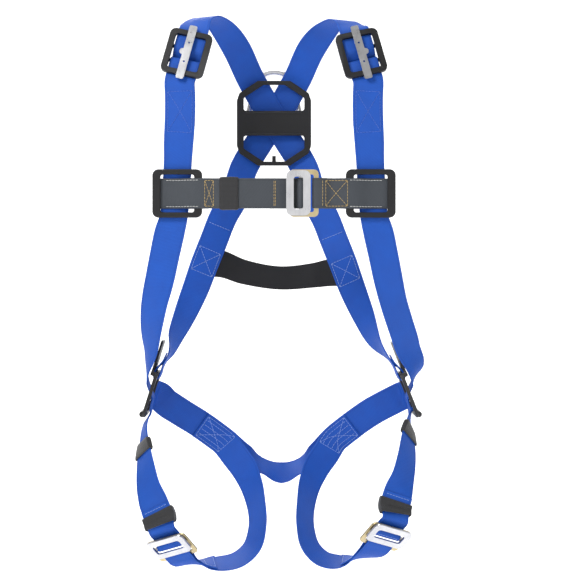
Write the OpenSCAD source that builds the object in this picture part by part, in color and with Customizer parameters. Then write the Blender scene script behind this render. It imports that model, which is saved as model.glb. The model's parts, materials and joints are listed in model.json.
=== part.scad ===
// Full body fall-arrest harness: blue webbing, moulded adjusters, steel buckles and a back ring.
// X runs to the right as seen from the front, Y to the back, Z up. The origin is the centre of
// the eye of the back ring, where a lanyard clips on. All lengths are millimetres.
// Side straps are laid out once, for the right-hand side, and mirrored for the left.

/* [Webbing] */
// Width of the body webbing
web_w = 45; // [43.5:0.5:45.5]
// Thickness of the body webbing
web_t = 2.2; // [1.8:0.1:2.3]
// Thickness of the chest and waist webbing
light_t = 1.8; // [1.4:0.1:1.9]
// Free gap between touching layers
gap = 0.4; // [0.3:0.05:0.5]

/* [Body] */
// Half distance between the front straps at chest height
chest_half = 146; // [142:0.5:148]
// Depth of the front straps at the chest, to the front of the middle plane
front_depth = 91; // [88:0.5:94]
// Height of the chest strap above the bottom of the leg loops
chest_z = 570; // [562:1:578]
// Height of the crossing of the back straps
cross_z = 704; // [700:1:708]
// Half distance between the shoulder adjusters
shoulder_half = 131; // [128:0.5:134]
// Height of the shoulder adjusters
shoulder_z = 782; // [778:1:786]

/* [Adjusters] */
// Width of a shoulder adjuster frame
adjuster_w = 65; // [64:0.5:68]
// Length of a shoulder adjuster frame
adjuster_l = 74; // [72:0.5:76]
// Width of a chest frame
chest_frame_w = 74; // [73:0.5:75]
// Height of a chest frame
chest_frame_h = 72; // [70:0.5:74]
// Thickness of the moulded frames
frame_t = 5; // [4:0.25:5]

/* [Buckles] */
// Height of a buckle link, along its pin
link_h = 67; // [64:0.5:70]
// Width of a buckle link
link_w = 36; // [34:0.5:36]
// Height of a buckle frame
catch_h = 70; // [68:0.5:72]
// Width of a buckle frame
catch_w = 44; // [43:0.5:45]

/* [Back pad and ring] */
// Width of the back pad
pad_w = 120; // [112:1:124]
// Height of the back pad
pad_h = 137; // [133:1:140]
// Thickness of the back pad
pad_t = 5; // [4:0.25:5]
// Radius of the round bar that the ring is bent from
ring_r = 5; // [4:0.25:5]
// Radius of the ring's eye, to the middle of the bar
eye_r = 34; // [31:0.5:35]
// Height of the eye's centre above the ring's hinge
eye_rise = 57; // [54:0.5:60]

/* [Hidden] */

web_blue = [0.13, 0.30, 0.80];
moulded_black = [0.13, 0.13, 0.14];
chest_grey = [0.30, 0.32, 0.36];
bright_steel = [0.80, 0.80, 0.82];

// ---- Small tools ----

function unit(v) = v / norm(v);

// A local frame: origin, then its x, y and z directions. x leans to x_hint, y is y_dir.
function frame_of(origin, x_hint, y_dir) =
  let (y = unit(y_dir), x = unit(x_hint - (x_hint * y) * y))
  [origin, x, y, cross(x, y)];

// The world point at q in frame f, and the world direction of q in it
function point_in(f, q) = f[0] + q[0] * f[1] + q[1] * f[2] + q[2] * f[3];
function turn_in(f, q) = q[0] * f[1] + q[1] * f[2] + q[2] * f[3];

// Draws its children in frame f
module put(f)
  multmatrix([for (k = [0:2]) [f[1][k], f[2][k], f[3][k], f[0][k]]])
    children();

// side is 1 for the right-hand side and -1 for the left
module on_side(side)
  mirror([side < 0 ? 1 : 0, 0, 0])
    children();

// The closed outline through pts with every corner rounded to radius r, in steps of an arc
function rounded(pts, r, steps = 6) = [
  for (i = [0:len(pts) - 1])
    let (
      p = pts[i],
      a = unit(pts[(i + len(pts) - 1) % len(pts)] - p),
      b = unit(pts[(i + 1) % len(pts)] - p),
      half = acos(a * b) / 2,
      reach = r / tan(half),
      centre = p + unit(a + b) * r / sin(half),
      from = p + a * reach - centre,
      to = p + b * reach - centre,
      sweep = atan2(cross(from, to), from * to)
    )
    for (k = [0:steps])
      let (turn = sweep * k / steps)
      centre + [from[0] * cos(turn) - from[1] * sin(turn), from[0] * sin(turn) + from[1] * cos(turn)]
];

function box_outline(w, h) = [[-w / 2, -h / 2], [w / 2, -h / 2], [w / 2, h / 2], [-w / 2, h / 2]];

// A flat ring with rounded corners, centred on z = 0
module flat_ring(w, h, hole_w, hole_h, t, r, hole_r)
  linear_extrude(height = t, center = true)
    difference() {
      polygon(rounded(box_outline(w, h), r));
      polygon(rounded(box_outline(hole_w, hole_h), hole_r));
    }

// ---- Webbing ----
// A strap is a list of stops. A stop is one list of seven numbers: the middle of the strap there,
// the direction across its width, and its width.

function stop(p, across, w = web_w) = concat(p, unit(across), [w]);
function place_of(s) = [s[0], s[1], s[2]];
function across_of(s) = [s[3], s[4], s[5]];

function hop(path, i) = norm(place_of(path[i + 1]) - place_of(path[i]));
function rate(path, i) = (path[i + 1] - path[i]) / hop(path, i);
function slope(path, i) =
  i == 0 ? rate(path, 0)
  : i == len(path) - 1 ? rate(path, i - 1)
  : (rate(path, i - 1) * hop(path, i) + rate(path, i) * hop(path, i - 1))
    / (hop(path, i) + hop(path, i - 1));

// The stop at share t of the way from stop i to the next, on a smooth curve
function between(path, i, t) =
  let (d = hop(path, i), u = 1 - t)
  path[i] * (1 + 2 * t) * u * u + slope(path, i) * d * t * u * u
  + path[i + 1] * t * t * (3 - 2 * t) - slope(path, i + 1) * d * t * t * u;

station_step = 10;
function stations(path) = concat(
  [for (i = [0:len(path) - 2])
    let (n = max(1, ceil(hop(path, i) / station_step)))
    for (k = [0:n - 1]) between(path, i, k / n)],
  [path[len(path) - 1]]);

// The direction through the strap at stop i: across its width and square to its run
function through(path, i) = unit(cross(across_of(path[i]), place_of(slope(path, i))));

// The same strap with a stop added at each third of the way between its stops
function fine(path) = concat(
  [for (i = [0:len(path) - 2]) for (k = [0:2]) between(path, i, k / 3)],
  [path[len(path) - 1]]);

// Stops from one to another of a strap, moved by h through its own thickness
function layer(path, from, to, h) =
  [for (i = [from:(to < from ? -1 : 1):to]) let (q = path[i])
    stop(place_of(q) + h * through(path, i), across_of(q), q[6])];

module strap(path, t) {
  line = stations(path);
  last = len(line) - 1;
  corners = [for (i = [0:last])
    let (
      run = unit(place_of(slope(line, i))),
      raw = across_of(line[i]),
      across = unit(raw - (raw * run) * run),
      up = cross(across, run) * t / 2,
      side = across * line[i][6] / 2,
      p = place_of(line[i])
    )
    each [p - side - up, p + side - up, p + side + up, p - side + up]];
  walls = [for (i = [0:last - 1]) for (k = [0:3])
    let (a = 4 * i + k, b = 4 * i + (k + 1) % 4)
    each [[a, b, b + 4], [a, b + 4, a + 4]]];
  polyhedron(corners, concat([[0, 3, 2], [0, 2, 1]], walls,
    [[4 * last, 4 * last + 1, 4 * last + 2], [4 * last, 4 * last + 2, 4 * last + 3]]));
}

// Stops on an arc in frame f: round centre c, from angle a0 to a1, where 0 points along u and
// 90 along v, both given in the frame. The strap's width lies along w_dir.
function arc_stops(f, c, u, v, w_dir, r, a0, a1, steps, w = web_w) =
  [for (k = [0:steps])
    let (a = a0 + (a1 - a0) * k / steps)
    stop(point_in(f, c + r * (cos(a) * u + sin(a) * v)), turn_in(f, w_dir), w)];

// ---- Places that several parts share ----

// Frame of a shoulder adjuster, for the right-hand side: it leans to the neck and to the back
function shoulder_frame_at() =
  frame_of([shoulder_half, -73, shoulder_z], [1, 0, 0], [-0.23, 0.309, 0.923]);

// Frame of a hip adjuster on its edge: x to the back, y up, z outward. The two sides hang
// a little differently.
function hip_at(side) = side > 0
  ? frame_of([208, 0, 265], [0, 1, 0], [-0.37, 0, 0.93])
  : frame_of([190, 0, 266], [0, 1, 0], [-0.30, 0, 0.95]);

// Frame of a leg buckle at the link's pin: x from link to catch, y along the pin, z outward
leg_run = [-0.46, 0.50, -0.73];
leg_pin = [0.84, 0.44, -0.31];
function leg_buckle_at(side) =
  frame_of([0, 0, 0], leg_run, leg_pin)
  + [side > 0 ? [168, -84, 62] : [154, -84, 46], [0, 0, 0], [0, 0, 0], [0, 0, 0]];

// Frame of the chest buckle at the link's pin
chest_buckle_x = 40;
chest_buckle_depth = 102;
chest_buckle_at = frame_of([chest_buckle_x, -chest_buckle_depth, chest_z], [1, 0, 0], [0, 0, 1]);

// Heights and depths in the back assembly
pad_depth = 91;
ring_axis_depth = 99.8;
pad_z = cross_z - 8;
ring_z = cross_z - 9;
ring_pivot_depth = ring_axis_depth - 0.9;
ring_tilt = 8;
ring_crank = 12.5;
crank_rise = 12;
foot_r = 4;
ring_foot = 43;
eye_centre = [0, ring_pivot_depth + ring_crank * cos(ring_tilt) + eye_rise * sin(ring_tilt),
  ring_z + eye_rise * cos(ring_tilt) - ring_crank * sin(ring_tilt)];

// ---- Adjusters ----
bar_r = 3;
bar_back = 9;
bar_up = 12;
wrap_r = bar_r + gap - 0.1 + web_t / 2;

// A moulded frame's corners, and the widths of its side and end rails
frame_corner = 9;
side_rail = 9;
end_rail = 8;
cheek = 6;
cheek_l = 36;

// Two bars stand behind the frame between two cheeks
module shoulder_frame(side) color(moulded_black) on_side(side) put(shoulder_frame_at()) {
  flat_ring(adjuster_w, adjuster_l, adjuster_w - 2 * side_rail, adjuster_l - 2 * end_rail, frame_t,
    frame_corner, 4);
  bar_span = adjuster_w - 2 * side_rail + 9;
  for (y = [-bar_up, bar_up])
    translate([-bar_span / 2, y, -bar_back]) rotate([0, 90, 0])
      cylinder(r = bar_r, h = bar_span, $fn = 32);
  for (x = [-bar_span / 2 - 3, bar_span / 2 - 3])
    translate([x, -cheek_l / 2, -bar_back - bar_r]) cube([cheek, cheek_l, bar_back + bar_r]);
}

// The steel slide bar lies along the strap over both rails of the frame and hooks their edges
bar_l = 90;
bar_w = 12;
bar_t = 1.8;
rivet_r = 1.6;
rivet_y = 16;
module shoulder_bar(side) color(bright_steel) on_side(side) put(shoulder_frame_at()) {
  difference() {
    translate([0, 0, frame_t / 2 + 0.5])
      linear_extrude(height = bar_t)
        union() {
          polygon(rounded(box_outline(bar_w, bar_l), 2.5));
          translate([bar_w / 2, 0]) circle(r = 5, $fn = 32);
        }
    for (y = [-rivet_y, rivet_y])
      translate([0, y, 0]) cylinder(r = rivet_r, h = 20, $fn = 24);
  }
  for (y = [-1, 1])
    translate([-bar_w / 2, y * (adjuster_l / 2 + 1.6) - 1, -frame_t / 2 + 0.2])
      cube([bar_w, 2, frame_t + 0.8]);
}

chest_rail = 12;
module chest_frame(side) color(moulded_black) on_side(side)
  translate([chest_half - 2.5, -front_depth - 6.3, chest_z]) rotate([90, 0, 0])
    flat_ring(chest_frame_w, chest_frame_h, chest_frame_w - 2 * chest_rail,
      chest_frame_h - 2 * end_rail, frame_t, frame_corner, 3.5);

hip_rear_slot = 12;
hip_w = 72;
hip_l = 72;
hip_roller_y = -8;
lever_low = 5.6;
lever_t = 3.6;
lever_top = 84;
lip_r = 4.5;
lip_l = 60;
riser_x = 32;
riser_y = 29;
riser_w = 7;
roller_bore = 2.08;
// Outline of the release lever, and of the frame's front window and rear slot
lever_outline = [[-riser_x, riser_y], [riser_x, riser_y], [24, lever_top], [-16, lever_top], [-21, 38]];
window_outline = box_outline(50, 56);
slot_outline = [[32.5, -30.5], [39.5, -30.5], [39.5, 20.5], [32.5, 20.5]];

module hip_frame(side) color(moulded_black) on_side(side) put(hip_at(side)) {
  translate([0, 0, lever_low])
    linear_extrude(height = lever_t)
      polygon(rounded(lever_outline, 2.5));
  for (x = [-riser_x, riser_x - riser_w])
    translate([x, riser_y, 0]) cube([riser_w, 6.5, lever_low + 1]);
  translate([-lip_l / 2, lip_r - hip_l / 2 - 0.5, frame_t / 2]) rotate([0, 90, 0])
    cylinder(r = lip_r, h = lip_l, $fn = 32);
  difference() {
    translate([hip_rear_slot / 2, 0, 0])
      linear_extrude(height = frame_t, center = true)
        polygon(rounded(box_outline(hip_w + hip_rear_slot, hip_l), frame_corner));
    translate([0, 0, -frame_t]) linear_extrude(height = 2 * frame_t) {
      polygon(rounded(window_outline, 4));
      polygon(rounded(slot_outline, 2));
    }
    translate([-29, hip_roller_y, 0]) rotate([0, 90, 0]) cylinder(r = roller_bore, h = 58.5, $fn = 32);
  }
}

module hip_bar(side) color(bright_steel) on_side(side) put(hip_at(side)) {
  translate([-28.5, hip_roller_y, 0]) rotate([0, 90, 0]) cylinder(r = 2, h = 57.5, $fn = 32);
  translate([-24.5, hip_roller_y, 0]) rotate([0, 90, 0]) cylinder(r = 3, h = 49, $fn = 32);
}

// ---- Buckles ----
plate_low = 6;
plate_t = 3;
catch_mid = 1.2;
catch_t = 3.4;
catch_rail = 7;
catch_back = 18;
// Middle of the catch's far rail, which the other strap goes round
catch_far = catch_w - catch_back - catch_rail + 1.1;
link_back = 22;
link_slot_l = 48;
pin_l = 54.4;
pin_cheek = 2.8;
chest_slot_w = 14;
leg_slot_w = 17;

// A slotted plate above a pin, joined to the pin by a cheek at each end
module buckle_link_body(w, slot_w) {
  translate([w / 2 - link_back, 0, plate_low])
    linear_extrude(height = plate_t)
      difference() {
        polygon(rounded(box_outline(w, link_h), 9));
        polygon(rounded(box_outline(slot_w, link_slot_l), 4));
      }
  for (y = [-pin_l / 2, pin_l / 2 - pin_cheek])
    translate([-bar_r, y, 0]) cube([2 * bar_r, pin_cheek, plate_low + 0.5]);
  translate([0, pin_l / 2, 0]) rotate([90, 0, 0]) cylinder(r = bar_r, h = pin_l, $fn = 32);
}

module buckle_catch_body()
  translate([catch_w / 2 - catch_back, 0, catch_mid])
    flat_ring(catch_w, catch_h, catch_w - 2 * catch_rail, catch_h - 2 * catch_rail, catch_t, 7, 3);

module chest_buckle_link() color(bright_steel) put(chest_buckle_at)
  buckle_link_body(link_w, chest_slot_w);
module chest_buckle_frame() color(bright_steel) put(chest_buckle_at) buckle_catch_body();
module leg_buckle_link(side)
  color(bright_steel) on_side(side) put(leg_buckle_at(side)) buckle_link_body(link_w, leg_slot_w);
module leg_buckle_frame(side)
  color(bright_steel) on_side(side) put(leg_buckle_at(side)) buckle_catch_body();

// ---- Back ----
pad_flat = 26;
pad_drop = 20;
window_top = 17;
window_half = 49;
window_high = 62;
window_wide_at = 41;
window_low = 20;
divider_w = 6;
module back_pad() color(moulded_black)
  translate([0, pad_depth + pad_t / 2, pad_z]) rotate([90, 0, 0]) {
    linear_extrude(height = pad_t)
      difference() {
        polygon(rounded(pad_outline(pad_w / 2, pad_h / 2, pad_flat, pad_drop), 6));
        for (s = [-1, 1])
          polygon(rounded([[-window_top, s * window_high], [window_top, s * window_high],
            [window_half, s * window_wide_at], [window_half, s * window_low],
            [-window_half, s * window_low], [-window_half, s * window_wide_at]], 4));
      }
    translate([-divider_w / 2, -window_high - 1, 0]) cube([divider_w, 10, pad_t]);
  }

function pad_outline(w, h, flat, drop) = [[-flat, -h], [flat, -h], [w - 4, -h + drop],
  [w, -h + drop + 12], [w, h - drop - 12], [w - 4, h - drop], [flat, h], [-flat, h],
  [-w + 4, h - drop], [-w, h - drop - 12], [-w, -h + drop + 12], [-w + 4, -h + drop]];

// A round bar from p to q with slightly fuller ball ends
ball_share = 1.03;
module rod(p, q, r) {
  v = q - p;
  translate(p) rotate([0, acos(v[2] / norm(v)), atan2(v[1], v[0])])
    cylinder(r = r, h = norm(v), $fn = 32);
  for (end = [p, q])
    translate(end) sphere(r = r * ball_share, $fn = 32);
}

module dorsal_ring() color(bright_steel)
  translate([0, ring_pivot_depth, ring_z]) rotate([-ring_tilt, 0, 0]) {
    translate([-ring_foot, 0, 0]) rotate([0, 90, 0])
      cylinder(r = foot_r, h = 2 * ring_foot, $fn = 32);
    for (s = [-1, 1]) {
      rod([s * ring_foot, 0, 0], [s * ring_foot, ring_crank, crank_rise], ring_r);
      rod([s * ring_foot, ring_crank, crank_rise], [s * eye_r, ring_crank, eye_rise], ring_r);
    }
    translate([0, ring_crank, eye_rise]) rotate([90, 0, 0])
      rotate_extrude(angle = 180, $fn = 64) translate([eye_r, 0]) circle(r = ring_r, $fn = 32);
  }

// ---- Straps ----
layer_step = web_t + 1.5 * gap;
forward = [0, 0, 1];

function flipped(f) = [for (v = f) [-v[0], v[1], v[2]]];
function flipped_path(path) =
  [for (q = path) concat([-q[0], q[1], q[2], -q[3], q[4], q[5]], [q[6]])];
function reversed(path) = [for (i = [len(path) - 1:-1:0]) path[i]];

// Stops at depth z and height y in frame f, across its x
function stops_yz(f, pairs, w = web_w) =
  [for (q = pairs) stop(point_in(f, [0, q[0], q[1]]), f[1], w)];

// The run of a front strap from under the shoulder adjuster to the top of the hip adjuster
function front_run(side) = concat(
  stops_yz(shoulder_frame_at(), [[-30, -4.7], [-44, -5]]),
  [stop([140.5, -84, 722], [1, 0, 0.06]),
   stop([140, -88, 700], [1, 0, 0]),
   stop([140.5, -90.5, 672], [1, 0, 0]),
   stop([142, -front_depth, 645], [1, 0, 0.05], web_w - 1),
   stop([chest_half - 3, -front_depth, chest_z + 50], [1, 0, 0.06], 42),
   stop([chest_half, -front_depth, chest_z], [1, 0, 0.08], 42),
   stop([chest_half + 4, -front_depth, chest_z - 38], [1, 0, 0.12], 42),
   stop([155, -90.5, 514], [0.99, 0.05, 0.16]),
   stop([162.5, -88, 481], [0.98, 0.10, 0.20]),
   stop([170.5, -80, 445], [0.96, 0.18, 0.20]),
   stop([180, -66, 409], side > 0 ? [0.90, 0.38, 0.18] : [0.88, 0.42, 0.15])],
  side > 0
  ? [stop([193, -46, 372], [0.86, 0.50, 0.05]),
     stop([207, -24, 335], [0.82, 0.57, 0]),
     stop([220, -9, 303.5], [0.55, 0.83, 0])]
  : [stop([187, -46, 372], [0.74, 0.66, 0.05]),
     stop([191, -26, 335], [0.50, 0.86, 0]),
     stop([196.5, -8, 303], [0.15, 0.98, 0])]);

// Through the hip adjuster, from outside its top rail to inside its roller and its lower rail
function front_at_hip(side) =
  let (f = hip_at(side))
  [for (q = [[14, side > 0 ? 12.5 : 10], [4, 2.5], [-6, -4.9], [-14, -5.3], [-30, -7.5]])
    stop(point_in(f, [-2, q[0], q[1]]), f[1], 43)];

// Down the outside of the thigh to the leg buckle
function front_leg_run(side) = side > 0
  ? [stop([211, -6, 230], [0.10, 0.99, 0], 44),
     stop([208, -19, 208], [0.38, 0.92, -0.05]),
     stop([202, -46, 170], [0.65, 0.74, -0.15]),
     stop([193, -66, 138], [0.80, 0.50, -0.24]),
     stop([185.5, -76.5, 120], [0.93, 0.12, -0.27]),
     stop([180, -82, 101], [0.92, 0.22, -0.30])]
  : [stop([197, -6, 226], [0.10, 0.99, 0], 44),
     stop([200, -22, 184], [0.42, 0.90, -0.05]),
     stop([196, -42, 153], [0.65, 0.74, -0.15]),
     stop([189, -62, 125], [0.80, 0.50, -0.24]),
     stop([178, -77, 101], [0.93, 0.12, -0.27]),
     stop([170, -83.5, 84], [0.92, 0.22, -0.30])];

// Stops at x and depth z in a buckle's frame, across its pin
function stops_xz(f, pairs, w = web_w) =
  [for (q = pairs) stop(point_in(f, [q[0], 0, q[1]]), f[2], w)];

// The web's turn round the pin of a link, from its inner run to its outer run
function pin_turn(f, t) = concat(
  stops_xz(f, [[-26, -7.3], [-18, -7], [-10, -6.6]]),
  arc_stops(f, [0, 0, 0], [0, 0, 1], [1, 0, 0], [0, 1, 0], bar_r + gap - 0.1 + t / 2, 180, -40, 7),
  stops_xz(f, [[-10, -3.6], [-18, -3.9], [-26, -4.4]]));

function front_path(side) =
  let (run = front_run(side), leg = front_leg_run(side))
  concat(
    layer(fine(run), 12, 0, layer_step),
    arc_stops(shoulder_frame_at(), [0, -bar_up, -bar_back], [0, 0, -1], [0, 1, 0], [1, 0, 0],
      wrap_r, 0, 180, 6),
    run, front_at_hip(side), leg,
    pin_turn(leg_buckle_at(side), web_t),
    layer(fine(leg), 15, 12, -layer_step));

// How much lower the harness hangs over the right shoulder than over the left
right_drop = 5;

// A back strap, from its free tail behind the right shoulder adjuster to the left hip adjuster.
// over is how far it lies outside the other back strap where they cross.
function rear_path(over, hip_side) =
  let (f = shoulder_frame_at(), hip = flipped(hip_at(hip_side)), tail = front_run(1),
    drop = hip_side > 0 ? 0 : right_drop)
  concat(
    layer(fine(tail), 9, 3, 2 * layer_step + 0.4),
    stops_yz(f, [[-27, -13.2], [-14, -16.8], [-6, -15.8], [1, -10.2], [8, -5.2], [16, -4.5],
      [34, -4.5], [42, -4.4]]),
    [stop([117, -40, 835 - drop], [0.95, 0.28, -0.03]),
     stop([105, -14, 847 - drop], [0.88, 0.47, 0]),
     stop([91, 13, 847 - drop], [0.86, 0.50, 0]),
     stop([77, 38, 835 - drop * 0.6], [0.88, 0.35, -0.20]),
     stop([60, 64, 812], [0.87, 0.15, -0.40]),
     stop([37, 98 + over * 0.3, cross_z + 63], [0.88, 0, -0.475]),
     stop([20, ring_axis_depth + 2.5 + over, cross_z + 33], [0.86, 0, -0.51]),
     stop([0, ring_axis_depth + 6 + over, cross_z], [0.85, 0, -0.53]),
     stop([-22, ring_axis_depth + 2.5 + over, cross_z - 34], [0.86, 0, -0.51]),
     stop([-50, 95 + over * 0.6, 621], [0.89, 0.04, -0.45]),
     stop([-62, 88, 580], [0.91, 0.05, -0.40]),
     stop([-82, 80, 543], [0.91, 0.10, -0.38]),
     stop([-97, 71, 504], [0.90, 0.15, -0.37]),
     stop([-110, 62, 470], [0.90, 0.20, -0.38]),
     stop([-124, 52, 430], [0.84, 0.38, -0.38]),
     stop([-142, 38, 385], [0.66, 0.68, -0.32]),
     stop([-156, 24, 352], [0.40, 0.88, -0.25])],
    [for (q = [[6, 60, -6.5], [2, 46, -4.4]]) stop(point_in(hip, q), hip[1])],
    arc_stops(hip, [0, 29.2, 0], [0, 0, -1], [0, -1, 0], [1, 0, 0], frame_t / 2 + gap + web_t / 2,
      0, 180, 6),
    [for (q = [[1, 38, 4], [2, 50, -1.2], [6, 60, -3.2]]) stop(point_in(hip, q), hip[1])]);

// The seat strap from the hip adjuster to short of the middle
function seat_run(side) = side > 0
  ? [stop([190, 57, 251], [-0.40, 0, 0.92]),
     stop([158, 66, 233], [-0.48, 0.05, 0.87]),
     stop([126, 74, 210], [-0.58, 0, 0.81]),
     stop([98, 79, 187], [-0.66, 0.05, 0.74]),
     stop([72, 83, 160], [-0.62, 0.30, 0.72]),
     stop([44, 92, 143], [-0.20, 0.90, 0.38])]
  : [stop([174, 57, 249], [-0.40, 0, 0.92]),
     stop([150, 64, 232], [-0.48, 0.05, 0.87]),
     stop([118, 73, 211], [-0.58, 0, 0.81]),
     stop([82, 79, 184], [-0.66, 0.05, 0.74]),
     stop([50, 83, 157], [-0.58, 0.30, 0.75]),
     stop([20, 92, 143], [-0.18, 0.90, 0.38])];
seat_middle = stop([12, 94, 131], [0, 0.75, 0.66]);
seat_loop_y = -5;

function seat_half(side) =
  let (f = hip_at(side), run = seat_run(side))
  concat(
    layer(run, 1, 0, -layer_step),
    [for (q = [[57, -5.5], [52.5, 2.5], [48.5, 4.2]])
      stop(point_in(f, [q[0], seat_loop_y, q[1]]), f[2])],
    arc_stops(f, [40.7, seat_loop_y, 0], [0, 0, -1], [-1, 0, 0], [0, 1, 0],
      frame_t / 2 + gap + web_t / 2, 180, 0, 6),
    [for (q = [[48.5, -4.1], [52, -5.5], [54.5, -9.5]])
      stop(point_in(f, [q[0], seat_loop_y, q[1]]), f[2])],
    run);

function seat_path() =
  concat(seat_half(1), [seat_middle], reversed(flipped_path(seat_half(-1))));

// A leg strap: sewn to the front of the seat strap, down inside the thigh and under it to the
// catch of the leg buckle, with a sewn lap inside
function leg_run_stops(side) = side > 0
  ? [stop([84, 70, 166], [-0.72, -0.05, 0.65]),
     stop([69, 58, 146], [-0.78, -0.20, 0.55]),
     stop([57, 40, 122], [-0.72, -0.55, 0.40]),
     stop([50, 15, 94], [-0.60, -0.72, 0.30]),
     stop([49, -10, 60], [-0.58, -0.80, 0.10]),
     stop([57, -29, 33], [-0.55, -0.82, -0.10]),
     stop([76, -43, 17], [-0.45, -0.86, -0.25]),
     stop([102, -48, 14], [-0.48, -0.84, -0.24]),
     stop([128, -54, 21], [-0.66, -0.74, 0.05])]
  : [stop([62, 70, 160], [-0.72, -0.05, 0.65]),
     stop([48, 58, 143], [-0.78, -0.20, 0.55]),
     stop([36, 40, 120], [-0.72, -0.55, 0.40]),
     stop([28, 15, 94], [-0.60, -0.72, 0.30]),
     stop([26, -10, 60], [-0.58, -0.80, 0.10]),
     stop([35, -29, 32], [-0.55, -0.82, -0.10]),
     stop([56, -43, 16], [-0.45, -0.86, -0.25]),
     stop([88, -49, 11], [-0.48, -0.84, -0.24]),
     stop([114, -55, 12], [-0.66, -0.74, 0.05])];

function leg_path(side) =
  let (f = leg_buckle_at(side), run = leg_run_stops(side), n = len(run) - 1,
    far = f[2] * -1, out = catch_t / 2 + gap + web_t / 2)
  concat(
    layer(fine(seat_run(side)), 6, 9, layer_step + 0.2),
    run,
    [for (x = [32, 28]) stop(point_in(f, [x, 0, catch_mid + out]), far)],
    [for (k = [0:6]) let (a = 180 * k / 6)
      stop(point_in(f, [catch_far - out * sin(a), 0, catch_mid + out * cos(a)]), far)],
    [for (q = [[28, 0], [33, 0.6]]) stop(point_in(f, [q[0], 0, catch_mid - out + q[1]]), far)],
    layer(run, n, n - 1, layer_step));

// The waist strap joins the back straps from outside
waist_stop = 28;
function waist_end(side) =
  let (back = flipped_path(rear_path(0, side)), share = side > 0 ? 0.36 : 0,
    c = place_of(between(back, waist_stop, share)),
    n = -unit(through(back, waist_stop) * (1 - share) + through(back, waist_stop + 1) * share),
    u = unit([n[1], -n[0], 0]), e = c + (layer_step + 1.2) * n)
  [for (q = [14, 0, -22]) stop(e + q * u, cross(u, n))];
function waist_path() = concat(
  waist_end(1),
  [stop([62, 92, 450], [0, 0.05, 1], 40), stop([12, 98, 446], [0, 0.05, 1], 38),
   stop([-50, 93, 456], [0, 0.05, 1], 40)],
  reversed(flipped_path(waist_end(-1))));

// A chest web. Its outer end goes round the front strap inside the chest frame, and is sewn
// behind. layer_of picks depths: front of the frame, tucked behind its outer rail, and back.
chest_run = chest_buckle_depth - 3;
function chest_loop(lap_x) =
  [for (q = [[lap_x, chest_run - 2.5], [99, chest_run - 2.6], [106, 92.6], [112, 90], [123, 88.4],
      [150, 88.4], [166, 88.5]])
    stop([q[0], -q[1], chest_z], forward)];
function chest_turn() =
  [for (k = [0:6]) let (a = 180 * k / 6)
    stop([173 + 2.5 * sin(a), -front_depth + 2.5 * cos(a), chest_z], forward)];
function chest_front(mid_x) =
  [for (q = [[166, 93.6], [150, 93.8], [138, 95.6], [127, 99.4], [119, 101.2], [105, 101.2],
      [92, chest_run + 0.3], [mid_x, chest_run]])
    stop([q[0], -q[1], chest_z], forward)];

function chest_path_left() =
  let (f = chest_buckle_at, t = light_t)
  concat(
    flipped_path(chest_loop(48)), flipped_path(chest_turn()), flipped_path(chest_front(50)),
    [stop([0, -chest_run, chest_z], forward)],
    stops_xz(f, [[-24, -3.4], [-18, -3.5], [-10, -3.4]]),
    reversed(arc_stops(f, [0, 0, 0], [0, 0, 1], [1, 0, 0], [0, 1, 0], bar_r + gap - 0.1 + t / 2,
      180, -40, 7)),
    stops_xz(f, [[-10, -5.9], [-18, -6], [-30, -6], [-46, -6]]));

function chest_path_right() =
  let (f = chest_buckle_at, out = catch_t / 2 + gap + light_t / 2)
  concat(
    chest_loop(90), chest_turn(), chest_front(84),
    stops_xz(f, [[33, catch_mid + out - 1.5], [27, catch_mid + out]]),
    [for (k = [0:6]) let (a = 180 * k / 6)
      stop(point_in(f, [catch_far - out * sin(a), 0, catch_mid + out * cos(a)]), f[2])],
    stops_xz(f, [[27, catch_mid - out], [33, catch_mid - out - 1], [40, -5.6], [46, -5.6]]));

module rear_strap(side) color(web_blue) on_side(side)
  strap(rear_path(side > 0 ? layer_step + 1.2 : 0, -side), web_t);
module front_strap(side) color(web_blue) on_side(side) strap(front_path(side), web_t);
module seat_strap() color(web_blue) strap(seat_path(), web_t);
module leg_strap(side) color(web_blue) on_side(side) strap(leg_path(side), web_t);
module waist_strap() color(moulded_black) strap(waist_path(), light_t);
module chest_web(side) color(chest_grey)
  strap(side > 0 ? chest_path_right() : chest_path_left(), light_t);

// ---- Keepers ----
// The elastic is drawn looser than it sits, so that it can slide without touching the webbing.
keeper_wall = 1.5;
upper_inner_t = 10.6;
upper_l = 24;
lower_inner_t = 15.6;
lower_l = 22;
keeper_slack = 5;
chest_keeper_l = 29;
chest_keeper_x = -67.5;
module keeper(inner_w, inner_t, l)
  rotate([90, 0, 0]) linear_extrude(height = l, center = true)
    difference() {
      polygon(rounded(box_outline(inner_w + 2 * keeper_wall, inner_t + 2 * keeper_wall), 2));
      polygon(rounded(box_outline(inner_w, inner_t), 1));
    }

// A keeper round stop i of a leg run, moved by out towards the outer layer
module leg_keeper(side, i, out, inner_t, l) color(moulded_black) on_side(side) {
  run = front_leg_run(side);
  p = place_of(run[i]) - out * through(run, i);
  put(frame_of(p, across_of(run[i]), place_of(slope(run, i)))) keeper(web_w + keeper_slack, inner_t, l);
}
module leg_keeper_upper(side) leg_keeper(side, 1, 0, upper_inner_t, upper_l);
module leg_keeper_lower(side) leg_keeper(side, 5, layer_step / 2, lower_inner_t, lower_l);

module chest_keeper() color(moulded_black)
  translate([chest_keeper_x, -chest_run + 1.25, chest_z]) rotate([0, 0, 90]) rotate([90, 0, 90])
    rotate([0, 0, 90]) keeper(web_w + 2, 2 * light_t + 2.6, chest_keeper_l);

// ---- Assembly, moved so that the eye of the ring is the origin ----
module placed()
  translate(-eye_centre)
    children();

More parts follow.
